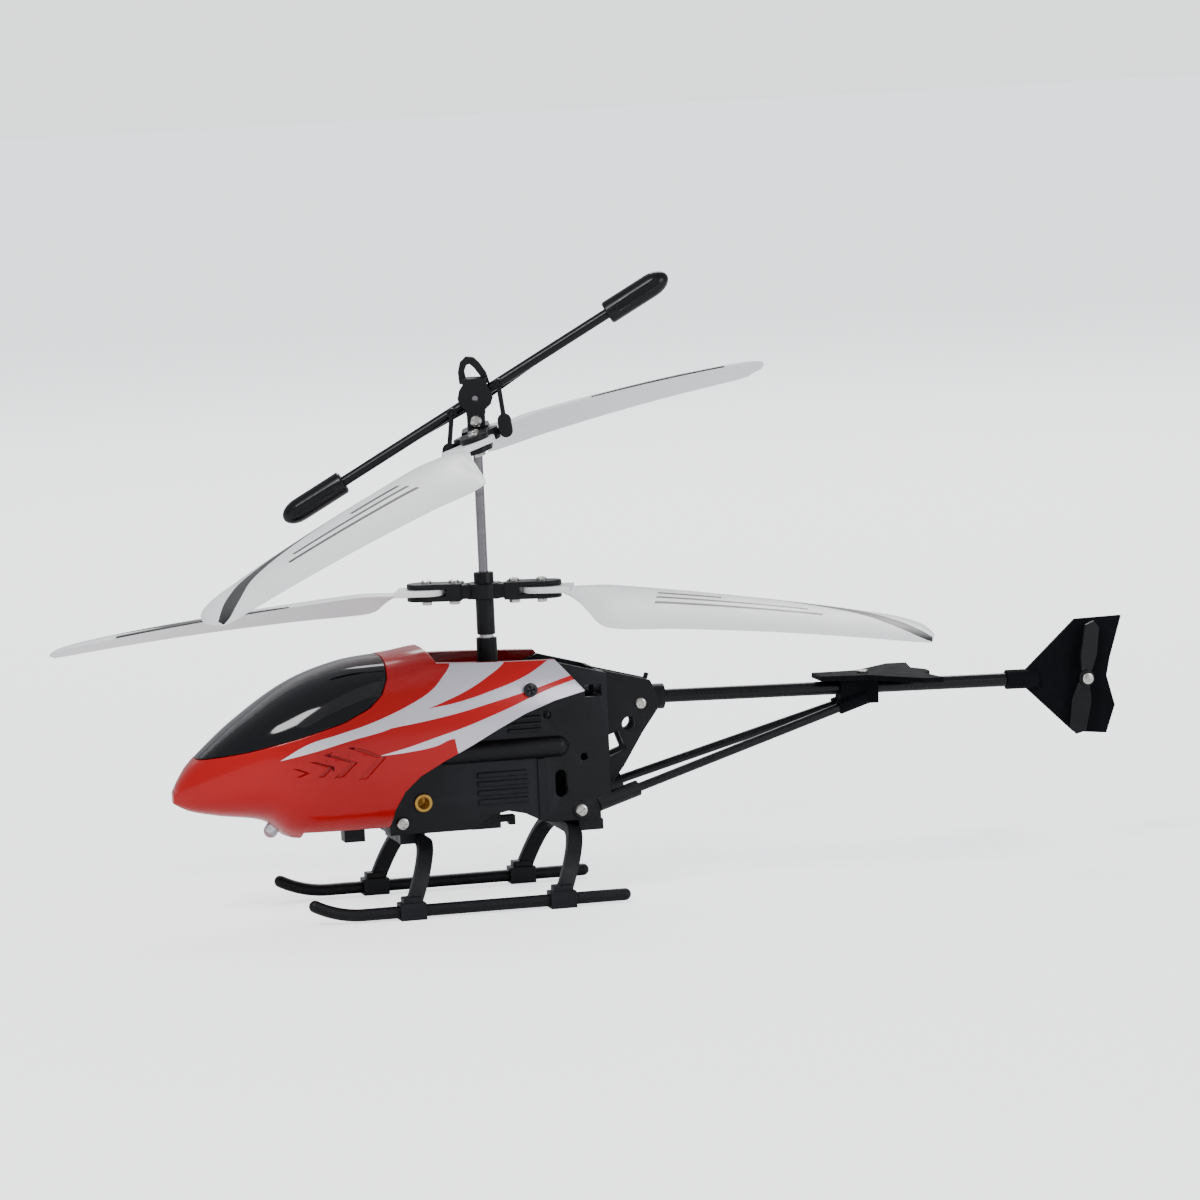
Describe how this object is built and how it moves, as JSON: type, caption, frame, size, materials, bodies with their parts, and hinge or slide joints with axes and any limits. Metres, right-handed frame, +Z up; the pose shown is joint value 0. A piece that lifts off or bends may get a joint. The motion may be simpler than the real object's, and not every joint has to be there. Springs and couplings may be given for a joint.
{
  "type": "toy helicopter",
  "caption": "Palm-size toy helicopter: canopy on a plate frame, counter-rotating rotors on one mast, weighted bar, boom tail, skids.",
  "frame": {"origin": "centre of the overall footprint, on the ground plane under the skid feet", "axes": "-Y toward the nose, +Y toward the tail, +X to the charging-socket side, +Z up along the mast"},
  "size_m": [0.1166, 0.2278, 0.1316],
  "materials": {
    "red_shell": "gloss red ABS with silver flashes",
    "dark_screen": "tinted, polished",
    "black_plastic": "black moulded nylon, satin",
    "blade_plastic": "milky flexible plastic",
    "shaft_steel": "ground steel",
    "tube_aluminium": "drawn aluminium tube",
    "screw_nickel": "nickel-plated",
    "screw_black": "black oxide",
    "motor_can": "plain steel can",
    "gear_nylon": "natural nylon",
    "brass": "turned brass",
    "board_green": "solder mask",
    "cell_foil": "foil pouch",
    "clear_lens": "clear moulded",
    "receiver_black": "infrared-passing resin"
  },
  "bodies": {
    "airframe": {"canopy": "red_shell", "windscreen": "dark_screen", "canopy_pegs": "black_plastic", "canopy_screws": "screw_black", "frame_left": "black_plastic", "frame_right": "black_plastic", "top_block": "black_plastic", "motor_plate": "black_plastic", "bottom_block": "black_plastic", "boom_socket": "black_plastic", "belly_plate": "black_plastic", "lamp_holder": "black_plastic", "nose_lamp": "clear_lens", "frame_screws": "screw_nickel", "battery": "cell_foil", "circuit_board": "board_green", "receiver": "receiver_black", "charge_socket": "brass", "switch_case": "black_plastic", "front_motor": "motor_can", "rear_motor": "motor_can", "mast_bushing": "black_plastic", "tail_boom": "black_plastic", "boom_clamp": "black_plastic", "tailplane": "black_plastic", "tailplane_screw": "screw_nickel", "strut_left": "black_plastic", "strut_right": "black_plastic", "fin": "black_plastic", "prop_pin": "screw_nickel", "front_bow": "black_plastic", "rear_bow": "black_plastic", "skid_left": "black_plastic", "skid_right": "black_plastic"},
    "lower_rotor": {"outer_shaft": "tube_aluminium", "outer_gear": "gear_nylon", "lower_hub": "black_plastic", "lower_screws": "screw_nickel"},
    "lower_blade_a": {"lower_blade_a": "blade_plastic"},
    "lower_blade_b": {"lower_blade_b": "blade_plastic"},
    "front_pinion": {"front_pinion": "brass"},
    "rear_pinion": {"rear_pinion": "brass"},
    "upper_rotor": {"inner_shaft": "shaft_steel", "inner_gear": "gear_nylon", "rotor_head": "black_plastic", "head_screw": "screw_nickel", "holder_pin": "shaft_steel", "bar_pin": "shaft_steel"},
    "blade_holder": {"blade_holder": "black_plastic", "holder_screws": "screw_nickel"},
    "upper_blade_a": {"upper_blade_a": "blade_plastic"},
    "upper_blade_b": {"upper_blade_b": "blade_plastic"},
    "stabiliser_bar": {"bar_rod": "black_plastic", "bar_weight_a": "black_plastic", "bar_weight_b": "black_plastic"},
    "link_a": {"link_a": "black_plastic"},
    "link_b": {"link_b": "black_plastic"},
    "tail_prop": {"tail_prop": "black_plastic"},
    "switch_slider": {"switch_slider": "black_plastic"}
  },
  "joints": [
    {"name": "lower_rotor_spin", "type": "hinge", "parent": "airframe", "child": "lower_rotor", "pos_m": [0, -0.02543, 0.0658], "axis": [0, 0, 1], "continuous": true},
    {"name": "upper_rotor_spin", "type": "hinge", "parent": "airframe", "child": "upper_rotor", "pos_m": [0, -0.02543, 0.098], "axis": [0, 0, 1], "continuous": true},
    {"name": "front_pinion_spin", "type": "hinge", "parent": "airframe", "child": "front_pinion", "pos_m": [0, -0.03443, 0.023], "axis": [0, 0, 1], "continuous": true},
    {"name": "rear_pinion_spin", "type": "hinge", "parent": "airframe", "child": "rear_pinion", "pos_m": [0, -0.01643, 0.026], "axis": [0, 0, 1], "continuous": true},
    {"name": "lower_blade_a_fold", "type": "hinge", "parent": "lower_rotor", "child": "lower_blade_a", "pos_m": [0.00421, -0.01387, 0.0658], "axis": [0, 0, 1], "range_deg": [-60, 60]},
    {"name": "lower_blade_b_fold", "type": "hinge", "parent": "lower_rotor", "child": "lower_blade_b", "pos_m": [-0.00421, -0.03699, 0.0658], "axis": [0, 0, 1], "range_deg": [-60, 60]},
    {"name": "bar_rock", "type": "hinge", "parent": "upper_rotor", "child": "stabiliser_bar", "pos_m": [0, -0.02543, 0.1067], "axis": [0.9744, -0.225, 0], "range_deg": [-60, 0]},
    {"name": "holder_feather", "type": "hinge", "parent": "upper_rotor", "child": "blade_holder", "pos_m": [0, -0.02543, 0.098], "axis": [0.9744, -0.225, 0], "range_deg": [-34, 0]},
    {"name": "upper_blade_a_fold", "type": "hinge", "parent": "blade_holder", "child": "upper_blade_a", "pos_m": [0.01199, -0.0282, 0.098], "axis": [-0.0658, -0.2849, 0.9563], "range_deg": [-15, 60]},
    {"name": "upper_blade_b_fold", "type": "hinge", "parent": "blade_holder", "child": "upper_blade_b", "pos_m": [-0.01199, -0.02266, 0.098], "axis": [-0.0658, -0.2849, 0.9563], "range_deg": [-15, 60]},
    {"name": "link_a_swing", "type": "hinge", "parent": "stabiliser_bar", "child": "link_a", "pos_m": [0.00113, -0.02054, 0.1096], "axis": [0.9744, -0.225, 0], "range_deg": [0, 60]},
    {"name": "link_b_swing", "type": "hinge", "parent": "stabiliser_bar", "child": "link_b", "pos_m": [-0.00113, -0.03032, 0.1038], "axis": [0.9744, -0.225, 0], "range_deg": [0, 60]},
    {"name": "tail_prop_spin", "type": "hinge", "parent": "airframe", "child": "tail_prop", "pos_m": [0.0028, 0.10534, 0.03814], "axis": [1, 0, 0], "continuous": true},
    {"name": "power_switch_slide", "type": "slide", "parent": "airframe", "child": "switch_slider", "axis": [0, 1, 0], "range_m": [-0.002, 0]}
  ],
  "couplings": [
    {"joint": "front_pinion_spin", "follows": "upper_rotor_spin", "ratio": -5},
    {"joint": "rear_pinion_spin", "follows": "lower_rotor_spin", "ratio": -5},
    {"joint": "holder_feather", "follows": "bar_rock", "ratio": 0.56667},
    {"joint": "link_a_swing", "follows": "bar_rock", "ratio": -1},
    {"joint": "link_b_swing", "follows": "bar_rock", "ratio": -1}
  ]
}
